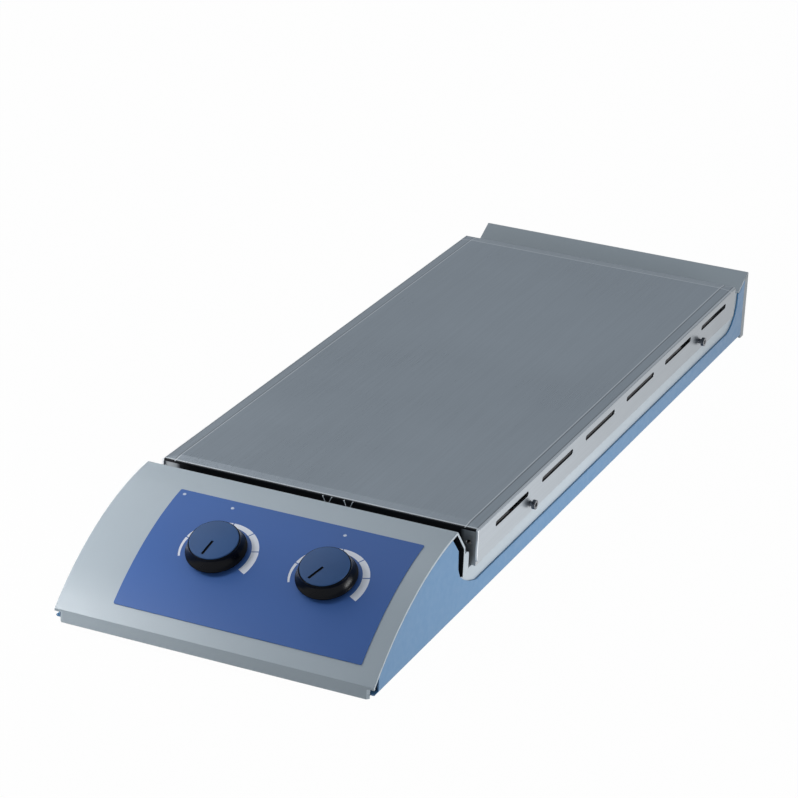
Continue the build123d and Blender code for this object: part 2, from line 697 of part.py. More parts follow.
inlet_out = -half_housing - 2.4
inlet_in = -wall_inner + 18
inlet_place = Plane.YZ.offset(inlet_out) * Pos(inlet_y, mains_height)
inlet = extrude(inlet_place * RectangleRounded(31, inlet_frame_height, 2.5), -half_housing - inlet_out)
inlet += wall_block(inlet_in, inlet_y, inlet_wide, inlet_high)
hollow = polygon(
    (-12, -8), (12, -8), (12, 3.5), (7.5, 8), (-7.5, 8), (-12, 3.5),
)
hollow_depth = 16.0
inlet -= extrude(Plane.YZ.offset(inlet_out - 1) * Pos(inlet_y, mains_height) * hollow, hollow_depth + 1)
save("mains_inlet", inlet)
pin_low = inlet_out + hollow_depth
pins = []
for pin_y, pin_z in ((-7.0, -2.0), (0.0, 2.0), (7.0, -2.0)):
    y = inlet_y + pin_y
    z = mains_height + pin_z
    pins.append(box(inlet_out + 4.6, pin_low, y - 1, y + 1, z - 2, z + 2))
save("inlet_pins", *pins)

# Rocker switch, its rocker turned to the off position
bezel_out = -half_housing - 1.6
switch_in = -wall_inner + 17
bezel = Plane.YZ.offset(bezel_out) * Pos(switch_y, mains_height) * RectangleRounded(17.4, 21.6, 1.5)
switch = extrude(bezel, -half_housing - bezel_out)
switch += wall_block(switch_in, switch_y, switch_wide, switch_high)
rocker_half = 6.0
rocker_reach = 8.2
pivot_x = -half_housing + 0.5
room_half = rocker_half + 0.2
room_reach = rocker_reach + 0.3
room_low = mains_height - room_reach
room_high = mains_height + room_reach
switch -= box(bezel_out - 1, pivot_x + 8, switch_y - room_half, switch_y + room_half, room_low, room_high)
trunnion = Pos(pivot_x, switch_y, mains_height) * Rot(90, 0, 0)
switch -= trunnion * Cylinder(1.2 + running, 2 * rocker_half + 1.6)
save("switch_body", switch)
rocker_outline = polygon(
    (2.0, -5.6), (-2.3, -7.8), (-1.5, -1.0), (-1.5, 1.0), (-2.3, 7.8), (2.0, 5.6),
)
rocker = Pos(0, rocker_half, 0) * extrude(Plane.XZ * rocker_outline, 2 * rocker_half)
rocker = Pos(pivot_x, switch_y, mains_height) * Rot(0, 7, 0) * rocker
rocker += trunnion * Cylinder(1.2, 2 * rocker_half + 1.4)
save("switch_rocker", rocker)

# Two small V-shaped spring clips on the front end sheet, in the gap behind the panel
clip_low = margin_under - 5.0
clip_rise = margin_top + 0.8 - clip_low
clip_lean = math.degrees(math.atan2(3.0, clip_rise))
clip_far = plate_front + end_recess
clips = []
for clip_x in (6.8, 19.8):
    clip = box(clip_x - 1.6, clip_x + 1.6, plate_front - 1.3, clip_far, clip_low - 0.6, clip_low)
    for turn in (-clip_lean, clip_lean):
        leaf = Pos(0, 0, clip_rise / 2 - 0.3) * Box(0.6, 1.0, clip_rise + 0.6)
        clip += Pos(clip_x, plate_front - 0.8, clip_low) * Rot(0, turn, 0) * leaf
    clips.append(clip)
save("spring_clips", *clips)
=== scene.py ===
"""Looks of a ten-position laboratory hotplate stirrer, laid out as an add-on."""
import math

import bmesh
import bpy
from bpy.props import FloatProperty, FloatVectorProperty, IntProperty, PointerProperty
from mathutils import Matrix, Vector


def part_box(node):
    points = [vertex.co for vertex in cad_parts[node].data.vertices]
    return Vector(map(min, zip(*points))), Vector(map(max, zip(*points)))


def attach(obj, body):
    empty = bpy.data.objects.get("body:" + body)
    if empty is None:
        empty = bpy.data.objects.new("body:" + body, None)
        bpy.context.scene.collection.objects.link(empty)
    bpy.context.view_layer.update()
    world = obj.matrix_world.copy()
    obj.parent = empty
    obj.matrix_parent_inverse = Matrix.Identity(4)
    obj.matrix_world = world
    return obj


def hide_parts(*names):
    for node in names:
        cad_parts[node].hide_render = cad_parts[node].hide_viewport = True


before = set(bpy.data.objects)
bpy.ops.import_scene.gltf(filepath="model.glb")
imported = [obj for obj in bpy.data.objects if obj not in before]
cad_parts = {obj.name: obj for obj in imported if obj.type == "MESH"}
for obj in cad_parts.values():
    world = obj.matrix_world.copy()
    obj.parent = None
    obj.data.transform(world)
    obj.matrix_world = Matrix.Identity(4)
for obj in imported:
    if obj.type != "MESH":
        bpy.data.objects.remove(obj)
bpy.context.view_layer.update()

bl_info = {
    "name": "Hotplate stirrer looks",
    "version": (1, 0, 0),
    "blender": (4, 5, 0),
    "location": "3D View > Sidebar > Hotplate",
    "description": "Paints and details a long hotplate stirrer around its CAD frame",
    "category": "Object",
}

MM = 0.001
# Panel arc: radius, centre behind the front edge and centre height, in millimetres
PANEL_RADIUS = 167.0
PANEL_BACK = 116.4164
PANEL_CENTRE = -108.2386
FRONT = -300.0
KNOB_BACK = 46.0
KNOBS = {"heat": (-21.0, 171.0), "speed": (45.0, 155.0)}


# Shader building

class Value:
    """A number socket that adds Math nodes when it is used in an expression."""

    def __init__(self, tree, socket):
        self.tree = tree
        self.socket = socket

    def _math(self, operation, *terms):
        node = self.tree.nodes.new("ShaderNodeMath")
        node.operation = operation
        for slot, term in zip(node.inputs, terms):
            if isinstance(term, Value):
                self.tree.links.new(term.socket, slot)
            else:
                slot.default_value = term
        return Value(self.tree, node.outputs[0])

    def __add__(self, other):
        return self._math("ADD", self, other)

    def __radd__(self, other):
        return self._math("ADD", other, self)

    def __sub__(self, other):
        return self._math("SUBTRACT", self, other)

    def __rsub__(self, other):
        return self._math("SUBTRACT", other, self)

    def __mul__(self, other):
        return self._math("MULTIPLY", self, other)

    def __rmul__(self, other):
        return self._math("MULTIPLY", other, self)

    def __truediv__(self, other):
        return self._math("DIVIDE", self, other)

    def __rtruediv__(self, other):
        return self._math("DIVIDE", other, self)

    def __pow__(self, other):
        return self._math("POWER", self, other)

    def __abs__(self):
        return self._math("ABSOLUTE", self)

    def __gt__(self, other):
        return self._math("GREATER_THAN", self, other)

    def __lt__(self, other):
        return self._math("LESS_THAN", self, other)

    def clamped(self):
        """The value kept between 0 and 1."""
        node = self._math("ADD", self, 0.0)
        node.socket.node.use_clamp = True
        return node


class Finish:
    """A material with one Principled shader, and short ways to add nodes to it."""

    def __init__(self, name):
        self.material = bpy.data.materials.new(name)
        self.material.use_nodes = True
        self.tree = self.material.node_tree
        self.shader = self.tree.nodes["Principled BSDF"]

    def node(self, kind, settings=None, **inputs):
        """Add a node: its settings first, then the values or links of its sockets."""
        made = self.tree.nodes.new(kind)
        for key, value in (settings or {}).items():
            if key == "stops":
                ramp = made.color_ramp
                while len(ramp.elements) < len(value):
                    ramp.elements.new(0.5)
                for element, (place, colour) in zip(ramp.elements, value):
                    element.position = place
                    element.color = colour
            else:
                setattr(made, key, value)
        for key, value in inputs.items():
            self.plug(made.inputs[key.replace("_", " ")], value)
        return made

    def plug(self, socket, value):
        """Link or set one socket."""
        if isinstance(value, Value):
            self.tree.links.new(value.socket, socket)
        elif isinstance(value, bpy.types.NodeSocket):
            self.tree.links.new(value, socket)
        else:
            socket.default_value = value

    def where(self):
        """Object coordinates in metres; every object sits in the row frame."""
        return self.node("ShaderNodeTexCoord").outputs["Object"]

    def stretched(self, scale):
        """Object coordinates scaled along the three axes."""
        return self.node("ShaderNodeMapping", Vector=self.where(), Scale=scale).outputs[0]

    def noise(self, size, detail=4.0, vector=None):
        """Noise whose patches are about size metres across, 0 to 1."""
        made = self.node("ShaderNodeTexNoise", Vector=vector or self.where(), Scale=1.0 / size, Detail=detail)
        return Value(self.tree, made.outputs["Fac"])

    def ranged(self, value, low, high, to_low, to_high):
        """Map a value from one range to another, clamped."""
        made = self.node("ShaderNodeMapRange")
        self.plug(made.inputs["Value"], value)
        made.inputs["From Min"].default_value = low
        made.inputs["From Max"].default_value = high
        made.inputs["To Min"].default_value = to_low
        made.inputs["To Max"].default_value = to_high
        return Value(self.tree, made.outputs["Result"])

    def axis(self, number):
        """One of the object coordinates as a number."""
        made = self.node("ShaderNodeSeparateXYZ", Vector=self.where())
        return Value(self.tree, made.outputs[number])

    def facing(self, number):
        """One part of the object's own surface normal as a number."""
        made = self.node("ShaderNodeSeparateXYZ", Vector=self.node("ShaderNodeTexCoord").outputs["Normal"])
        return Value(self.tree, made.outputs[number])

    def mixed(self, factor, first, second, blend="MIX"):
        """Blend two colours."""
        made = self.node("ShaderNodeMix", {"data_type": "RGBA", "blend_type": blend})
        self.plug(made.inputs[0], factor)
        self.plug(made.inputs[6], first)
        self.plug(made.inputs[7], second)
        return made.outputs[2]

    def edges(self, width):
        """Mask of sharp edges, from how far a bevelled normal leans off the plain one."""
        bevel = self.node("ShaderNodeBevel", {"samples": 6}, Radius=width)
        plain = self.node("ShaderNodeNewGeometry").outputs["Normal"]
        dot = self.node("ShaderNodeVectorMath", {"operation": "DOT_PRODUCT"})
        self.plug(dot.inputs[0], bevel.outputs[0])
        self.plug(dot.inputs[1], plain)
        return self.ranged(1.0 - Value(self.tree, dot.outputs["Value"]), 0.02, 0.25, 0.0, 1.0)

    def bump(self, height, strength, distance, normal=None):
        """Feed a height into the shader's normal."""
        made = self.node("ShaderNodeBump", Strength=strength, Distance=distance, Height=height)
        if normal is not None:
            self.plug(made.inputs["Normal"], normal)
        self.plug(self.shader.inputs["Normal"], made.outputs[0])
        return made.outputs[0]

    def rounded(self, radius):
        """A bevelled normal for sharp sheet edges."""
        return self.node("ShaderNodeBevel", {"samples": 6}, Radius=radius).outputs[0]

    def set(self, **inputs):
        """Set or link the shader's sockets."""
        for key, value in inputs.items():
            self.plug(self.shader.inputs[key.replace("_", " ")], value)
        return self.material


def rgb(red, green, blue):
    """A colour with full alpha, in linear light."""
    return (red, green, blue, 1.0)


def sheet_paint(name, colour, rough, wear_colour, dark=None):
    """Powder-coated sheet steel: soft orange peel, faint mottling, rubbed edges.

    dark is an optional function that gives a mask of painted shade, where the coat is painted near black to stand in
    for shadow."""
    f = Finish(name)
    mottle = f.noise(0.06, 3.0)
    shade = f.mixed(f.ranged(mottle, 0.3, 0.7, 0.0, 1.0), [c * 0.96 for c in colour[:3]] + [1], colour)
    if dark is not None:
        # Painted shade: where the dark mask is on, the paint goes near black to stand in for shadow.
        shade = f.mixed(dark(f), shade, rgb(0.012, 0.014, 0.017))
    specks = f.noise(0.004, 2.0)
    worn = (f.edges(0.0006) * f.ranged(f.noise(0.009, 4.0), 0.48, 0.72, 0.0, 0.55)).clamped()
    base = f.mixed(worn, shade, wear_colour)
    peel = f.noise(0.0016, 2.0) * 0.6 + f.noise(0.0006, 2.0) * 0.4
    f.bump(peel, 0.22, 0.00012, f.rounded(0.0004))
    f.set(Base_Color=base, Roughness=f.ranged(specks, 0.3, 0.7, rough - 0.03, rough + 0.05))
    f.shader.inputs["Specular IOR Level"].default_value = 0.4
    return f.material


def cover_painted_shade(f):
    """Mask of painted shade on the cover: its inside near the drop, the drop itself, the trough floor and the inward
    faces are painted near black, and the rear ledge and rear returns partly darker, to stand in for shadow.
    """
    back = f.axis(1) - FRONT * MM
    height = f.axis(2)
    beyond_peak = f.ranged(back, 0.1125, 0.1150, 0.0, 1.0)
    before_rear = f.ranged(back, 0.560, 0.574, 1.0, 0.0)
    low = f.ranged(height, 0.038, 0.048, 1.0, 0.0)
    inside = f.ranged(abs(f.axis(0)), 0.0890, 0.0915, 1.0, 0.0)
    near_drop = (back > 0.05) * (back < 0.13)
    inner_face = ((f.facing(1) < -0.25) * (f.facing(2) < 0.3) + (f.facing(2) < -0.25)).clamped() * near_drop
    inward = (f.axis(0) * f.facing(0)) < -0.04
    # Painted shade: the rear ledge and the rear returns are painted partly darker, standing in for the dimmer light at
    # the rear.
    ledge = (f.facing(2) > 0.5) * (back > 0.576) * 0.22
    rear_return = (abs(f.facing(0)) > 0.7) * (back > 0.592) * 0.5
    return (beyond_peak * before_rear * low * inside + inner_face + inward + ledge + rear_return).clamped()


def brushed_metal(name, colour, rough, grain, strength=0.35, dark=None, bright=None):
    """Brushed sheet: long fine lines along the grain vector, in metres per line.

    dark and bright are optional functions that give masks of painted shade and of painted highlights."""
    f = Finish(name)
    lines = f.noise(1.0, 3.0, f.stretched(tuple(1.0 / g for g in grain)))
    fine = f.noise(1.0, 2.0, f.stretched(tuple(2.7 / g for g in grain)))
    clouds = f.noise(0.11, 3.0)
    tone = f.ranged(lines * 0.6 + clouds * 0.4, 0.35, 0.65, 0.0, 1.0)
    base = f.mixed(tone, [c * 0.9 for c in colour[:3]] + [1], colour)
    if dark is not None:
        # Painted shade: the dark mask paints the metal near black to stand in for shadow.
        base = f.mixed(dark(f), base, rgb(0.012, 0.012, 0.014))
    if bright is not None:
        # Painted highlight: the bright mask paints pale lines where light would catch.
        base = f.mixed(bright(f), base, rgb(0.88, 0.91, 0.94))
    f.bump(lines * 0.5 + fine * 0.5, strength, 0.00004, f.rounded(0.0003))
    f.set(Base_Color=base, Metallic=1.0, Roughness=f.ranged(fine * 0.5 + clouds * 0.5, 0.3, 0.7, rough - 0.05, rough + 0.07))
    return f.material


def plate_painted_shade(f):
    """Mask of painted shade on the hotplate cover: its front edge and slots go near black for the shadow in the gaps,
    dark lines along the bends stand in for shade, and the flanges darken towards the rear for their dimmer reflection.
    """
    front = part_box("plate_cover")[0][1]
    across = abs(f.axis(0))
    side = abs(f.facing(0))
    edge = (f.axis(1) < front + 0.0011) * (across < 0.0966) * 0.97
    slots = (abs(f.axis(2) - 0.0445) < 0.0019) * (across > 0.0965) * (side < 0.5)
    lines = (abs(across - 0.0906) < 0.0003) + (abs(across - 0.0964) < 0.0003)
    flange = (side > 0.7) * f.ranged(f.axis(1), -0.20, 0.26, 0.0, 0.42) * f.ranged(f.noise(0.05, 3.0), 0.3, 0.7, 0.85, 1.0)
    return (edge + slots + lines * (f.facing(2) > 0.9) * 0.45 + flange).clamped()


def plate_painted_highlights(f):
    """Mask of painted highlights: bright lines along the hotplate cover's margin bends and across it near the front and
    rear ends, and at its front corners.
    """
    low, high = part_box("plate_cover")
    across = abs(f.axis(0))
    bends = (abs(across - 0.0898) < 0.00035) + (abs(across - 0.0972) < 0.0005)
    front = abs(f.axis(1) - (low[1] + 0.0017)) < 0.0006
    rear = abs(f.axis(1) - (high[1] - 0.0090)) < 0.0004
    corner = (f.axis(1) < low[1] + 0.0008) * (across > 0.0966)
    return ((bends + front + rear) * (f.facing(2) > 0.3) * 0.75 + corner).clamped()


def stack_painted_shade(f):
    """Mask of painted shade: the stack's side edges behind the slots are painted near black to stand in for shadow."""
    return f.ranged(abs(f.axis(0)), 0.0820, 0.0850, 0.0, 0.97)


def end_sheet_painted_shade(f):
    """Mask of painted shade on the end sheets: their middle is painted dark to stand in for shadow, a little less
    towards the rear, and the outer ends keep their bare colour.
    """
    return f.ranged(abs(f.axis(0)), 0.0870, 0.0895, 1.0, 0.0) * f.ranged(f.axis(1), -0.16, 0.25, 0.95, 0.7)


def moulded(name, colour, rough, grain_size=0.0005, strength=0.2, bevel=0.0003, gloss=0.5):
    """Moulded plastic or rubber with a fine spark-eroded texture."""
    f = Finish(name)
    f.shader.inputs["Specular IOR Level"].default_value = gloss
    grain = f.noise(grain_size, 3.0)
    clouds = f.noise(0.02, 3.0)
    base = f.mixed(f.ranged(clouds, 0.3, 0.7, 0.0, 1.0), [c * 0.88 for c in colour[:3]] + [1], colour)
    f.bump(grain, strength, 0.00006, f.rounded(bevel))
    return f.set(Base_Color=base, Roughness=f.ranged(clouds * 0.5 + grain * 0.5, 0.3, 0.7, rough - 0.04, rough + 0.06))


def printed_film(colour):
    """Matt polyester film with a very fine pebble."""
    f = Finish("control_film_print")
    pebble = f.noise(0.0004, 2.0)
    clouds = f.noise(0.05, 2.0)
    base = f.mixed(f.ranged(clouds, 0.3, 0.7, 0.0, 1.0), [c * 0.95 for c in colour[:3]] + [1], colour)
    f.bump(pebble, 0.12, 0.00004)
    f.shader.inputs["Specular IOR Level"].default_value = 0.3
    return f.set(Base_Color=base, Roughness=f.ranged(clouds, 0.3, 0.7, 0.44, 0.5))


def printed_white():
    """White print on the film."""
    f = Finish("dial_print_white")
    grain = f.noise(0.0003, 2.0)
    base = f.mixed(grain, rgb(0.70, 0.72, 0.80), rgb(0.82, 0.84, 0.90))
    return f.set(Base_Color=base, Roughness=f.ranged(grain, 0.3, 0.7, 0.4, 0.5))


def fibre_board():
    """Pressed mineral fibre."""
    f = Finish("insulation_fibre")
    strands = f.noise(1.0, 5.0, f.stretched((900, 300, 900)))
    base = f.mixed(strands, rgb(0.62, 0.60, 0.54), rgb(0.86, 0.84, 0.78))
    # Painted shade: the side edges behind the slots go near black.
    base = f.mixed(stack_painted_shade(f), base, rgb(0.010, 0.009, 0.008))
    f.bump(strands, 0.6, 0.0003)
    return f.set(Base_Color=base, Roughness=f.ranged(strands, 0.3, 0.7, 0.85, 0.97))


def circuit_board():
    """Green solder resist with tracks showing through."""
    f = Finish("board_resist")
    tracks = f.noise(1.0, 1.0, f.stretched((180, 60, 180)))
    lines = abs(f.ranged(tracks, 0.3, 0.7, -1.0, 1.0)) < 0.12
    base = f.mixed(lines, rgb(0.015, 0.12, 0.045), rgb(0.03, 0.20, 0.08))
    f.bump(lines, 0.3, 0.00005)
    return f.set(Base_Color=base, Roughness=f.ranged(tracks, 0.3, 0.7, 0.28, 0.36))


def lamp_lens():
    """Small clear lamp window, unlit."""
    f = Finish("lamp_lens")
    haze = f.noise(0.001, 2.0)
    base = f.mixed(haze, rgb(0.38, 0.46, 0.62), rgb(0.50, 0.58, 0.72))
    f.shader.inputs["Coat Weight"].default_value = 0.6
    return f.set(Base_Color=base, Roughness=f.ranged(haze, 0.3, 0.7, 0.12, 0.22))


# Mesh building

def piece(name, verts, faces, material, body, slot_name, smooth=True, flat_angle=0.6):
    """Make one mesh object that rides on a CAD body."""
    mesh = bpy.data.meshes.new(name)
    mesh.from_pydata([tuple(v) for v in verts], [], faces)
    made = bmesh.new()
    made.from_mesh(mesh)
    bmesh.ops.recalc_face_normals(made, faces=made.faces)
    made.to_mesh(mesh)
    made.free()
    obj = bpy.data.objects.new(name, mesh)
    bpy.context.scene.collection.objects.link(obj)
    mesh.materials.append(material)
    if smooth:
        mesh.shade_smooth()
        mesh.set_sharp_from_angle(angle=flat_angle)
    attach(obj, body)
    return obj


def lathe(profile, segments, place):
    """Turn a profile of (radius, height) in millimetres about local Z and put it in place."""
    verts = []
    faces = []
    rings = []
    for radius, height in profile:
        if radius < 1e-6:
            rings.append([len(verts)])
            verts.append(place @ Vector((0, 0, height * MM)))
            continue
        ring = []
        for k in range(segments):
            a = 2 * math.pi * k / segments
            ring.append(len(verts))
            verts.append(place @ Vector((radius * math.cos(a) * MM, radius * math.sin(a) * MM, height * MM)))
        rings.append(ring)
    for low, high in zip(rings, rings[1:]):
        for k in range(segments):
            n = (k + 1) % segments
            if len(low) == 1 and len(high) == 1:
                continue
            if len(low) == 1:
                faces.append((low[0], high[n], high[k]))
            elif len(high) == 1:
                faces.append((low[k], low[n], high[0]))
            else:
                faces.append((low[k], low[n], high[n], high[k]))
    return verts, faces


def panel_point(x, back, lift=0.0):
    """Point on the curved panel, x and distance behind the front edge in millimetres."""
    lean = math.asin((back - PANEL_BACK) / PANEL_RADIUS)
    radius = PANEL_RADIUS + lift
    return Vector((x, FRONT + PANEL_BACK + radius * math.sin(lean), PANEL_CENTRE + radius * math.cos(lean))) * MM


def panel_offset(x, back, across, along, lift):
    """Point at an offset across and along the curved surface from a place on the panel."""
    lean = math.asin((back - PANEL_BACK) / PANEL_RADIUS) + along / PANEL_RADIUS
    radius = PANEL_RADIUS + lift
    return Vector((x + across, FRONT + PANEL_BACK + radius * math.sin(lean), PANEL_CENTRE + radius * math.cos(lean))) * MM


def panel_matrix(x, back):
    """Matrix that stands on the panel with Z along its outward normal."""
    lean = math.asin((back - PANEL_BACK) / PANEL_RADIUS)
    normal = Vector((0, math.sin(lean), math.cos(lean)))
    side = Vector((1, 0, 0))
    up = normal.cross(side)
    turn = Matrix((side, up, normal)).transposed().to_4x4()
    return Matrix.Translation(panel_point(x, back)) @ turn


def cover_node(name, material):
    """Give a CAD node a material."""
    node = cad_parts[name]
    node.data.materials.clear()
    node.data.materials.append(material)


# Settings

class HousingSettings(bpy.types.PropertyGroup):
    """Colours of the painted housing and the film."""

    grey: FloatVectorProperty(
        name="Panel grey", description="Colour of the cover's paint", subtype="COLOR", size=3,
        min=0, max=1, default=(0.44, 0.50, 0.545),
    )
    blue: FloatVectorProperty(
        name="Pan blue", description="Colour of the pan's paint", subtype="COLOR", size=3,
        min=0, max=1, default=(0.082, 0.215, 0.395),
    )
    film: FloatVectorProperty(
        name="Film blue", description="Colour of the film", subtype="COLOR", size=3,
        min=0, max=1, default=(0.053, 0.137, 0.405),
    )


class KnobSettings(bpy.types.PropertyGroup):
    """Sizes of the knobs and their scales, in millimetres."""

    base: FloatProperty(name="Base radius", description="Widest radius", default=17.2, min=5.0)
    top: FloatProperty(name="Top radius", description="Radius at the rim", default=14.4, min=5.0)
    height: FloatProperty(name="Height", description="Height above the panel", default=10.2, min=2.0)
    cap: FloatProperty(name="Cap radius", description="Radius of the flat cap", default=13.68, min=4.0)
    scale_radius: FloatProperty(name="Scale start", description="Outer radius at the low end", default=21.5, min=5.0)
    scale_growth: FloatProperty(name="Scale growth", description="Radius gained at the high end", default=2.0, min=0.0)
    scale_wide: FloatProperty(name="Scale width", description="Width at the high end", default=4.8, min=0.2)
    scale_thin: FloatProperty(name="Scale start", description="Width at the low end", default=1.1, min=0.1)
    groove: FloatProperty(name="Groove", description="Width of the pointer groove", default=1.5, min=0.2)
    segments: IntProperty(name="Segments", description="Fields of the scale", default=6, min=1)


class StageSettings(bpy.types.PropertyGroup):
    """Light and floor."""

    key: FloatProperty(name="Key light", description="Power of the large light", default=9.0, min=0, subtype="POWER")
    fill: FloatProperty(name="Sky", description="Strength of the surrounding light", default=0.40, min=0)


# Operators

class HOTPLATE_OT_housing(bpy.types.Operator):
    """Paint the pan, the cover and the film"""

    bl_idname = "hotplate.housing"
    bl_label = "Housing"

    def execute(self, context):
        settings = context.scene.hotplate_housing
        # The cover's grey paint carries painted shade in the trough, at the drop and at the rear.
        grey = sheet_paint("panel_grey_paint", rgb(*settings.grey), 0.36, rgb(0.58, 0.62, 0.66), cover_painted_shade)
        blue = sheet_paint("pan_blue_paint", rgb(*settings.blue), 0.36, rgb(0.25, 0.38, 0.55))
        cover_node("top_cover", grey)
        cover_node("base_pan", blue)
        cover_node("control_film", printed_film(rgb(*settings.film)))
        cover_node("indicator_lenses", lamp_lens())
        return {"FINISHED"}


class HOTPLATE_OT_plate(bpy.types.Operator):
    """Give the hotplate unit its metals and layers"""

    bl_idname = "hotplate.plate"
    bl_label = "Hotplate"

    def execute(self, context):
        # The hotplate cover carries painted shade and painted highlights.
        steel_sheet = brushed_metal("plate_brushed_steel", rgb(0.48, 0.53, 0.58), 0.30, (0.0006, 0.06, 0.0006), 0.25, plate_painted_shade, plate_painted_highlights)
        cover_node("plate_cover", steel_sheet)
        # The end sheets carry painted shade in their middle.
        ends = brushed_metal("end_sheet_steel", rgb(0.46, 0.49, 0.52), 0.42, (0.03, 0.0006, 0.0006), 0.35, end_sheet_painted_shade)
        cover_node("plate_front_end", ends)
        cover_node("plate_rear_end", ends)
        # The heating plate and heat shield carry painted shade on their side edges.
        cast = brushed_metal("stack_aluminium", rgb(0.74, 0.75, 0.76), 0.38, (0.0015, 0.02, 0.0015), 0.35, stack_painted_shade)
        for name in ("heating_plate", "heat_shield"):
            cover_node(name, cast)
        blocks = brushed_metal("block_blackened_steel", rgb(0.020, 0.020, 0.022), 0.4, (0.004, 0.0008, 0.004))
        cover_node("plate_side_blocks", blocks)
        cover_node("tray_spacers", blocks)
        cover_node("heater_mat", moulded("heater_silicone", rgb(0.16, 0.03, 0.012), 0.5, 0.0012, 0.4))
        cover_node("insulation_pad", fibre_board())
        cover_node("limit_thermostat", moulded("thermostat_bakelite", rgb(0.03, 0.02, 0.018), 0.4))
        steel = brushed_metal("small_part_steel", rgb(0.60, 0.60, 0.61), 0.26, (0.0008, 0.0008, 0.004))
        cover_node("plate_sensor", steel)
        cover_node("housing_screws", steel)
        cover_node("spring_clips", brushed_metal("bright_spring_steel", rgb(0.84, 0.86, 0.88), 0.16, (0.001, 0.001, 0.006)))
        dark_steel = brushed_metal("blackened_screw_steel", rgb(0.13, 0.14, 0.16), 0.2, (0.004, 0.0008, 0.0008))
        cover_node("flange_screws", dark_steel)
        return {"FINISHED"}


class HOTPLATE_OT_drive(bpy.types.Operator):
    """Give the tray, the magnet carriers, the belt and the motor their finishes"""

    bl_idname = "hotplate.drive"
    bl_label = "Stirring drive"

    def execute(self, context):
        zinc = brushed_metal("tray_zinc", rgb(0.50, 0.52, 0.54), 0.36, (0.004, 0.012, 0.004), 0.2)
        # The tray's side edges behind the slots carry painted shade.
        cover_node("drive_tray", brushed_metal("tray_zinc_painted_shade", rgb(0.50, 0.52, 0.54), 0.36, (0.004, 0.012, 0.004), 0.2, stack_painted_shade))
        for name in ("retaining_rings", "idler_bracket", "potentiometers", "potentiometer_nuts"):
            cover_node(name, zinc)
        ground = brushed_metal("ground_shaft_steel", rgb(0.62, 0.62, 0.63), 0.18, (0.003, 0.003, 0.0005))
        for name in ("rotor_axles", "rotor_bearings", "motor_shaft"):
            cover_node(name, ground)
        carrier = moulded("carrier_polymer", rgb(0.03, 0.03, 0.032), 0.45)
        for k in range(1, 11):
            cover_node("stir_rotor_%02d" % k, carrier)
        cover_node("idler_roller", carrier)
        rubber = moulded("belt_rubber", rgb(0.018, 0.018, 0.018), 0.7, 0.0008, 0.5)
        cover_node("drive_belt", rubber)
        cover_node("motor_seal", rubber)
        cover_node("motor_case", moulded("motor_enamel", rgb(0.02, 0.02, 0.024), 0.3))
        turned = brushed_metal("turned_aluminium", rgb(0.72, 0.73, 0.74), 0.28, (0.004, 0.004, 0.0006))
        for name in ("motor_pulley", "heat_pot_shaft", "speed_pot_shaft"):
            cover_node(name, turned)
        brass = brushed_metal("turned_brass", rgb(0.62, 0.42, 0.16), 0.3, (0.003, 0.003, 0.0006))
        for name in ("support_pillars", "floor_standoffs", "board_standoffs", "inlet_pins"):
            cover_node(name, brass)
        return {"FINISHED"}


class HOTPLATE_OT_supply(bpy.types.Operator):
    """Give the boards, the wiring, the inlet and the switch their finishes"""

    bl_idname = "hotplate.supply"
    bl_label = "Supply"

    def execute(self, context):
        board = circuit_board()
        cover_node("control_board", board)
        cover_node("power_board", board)
        cover_node("power_components", moulded("winding_tape", rgb(0.45, 0.30, 0.05), 0.5, 0.002, 0.4))
        cover_node("supply_wiring", moulded("braided_sleeve", rgb(0.60, 0.59, 0.55), 0.8, 0.0008, 0.9))
        black = moulded("inlet_black", rgb(0.016, 0.016, 0.017), 0.42)
        cover_node("mains_inlet", black)
        cover_node("switch_body", black)
        cover_node("switch_rocker", moulded("rocker_black", rgb(0.012, 0.012, 0.013), 0.22, 0.001, 0.06))
        return {"FINISHED"}


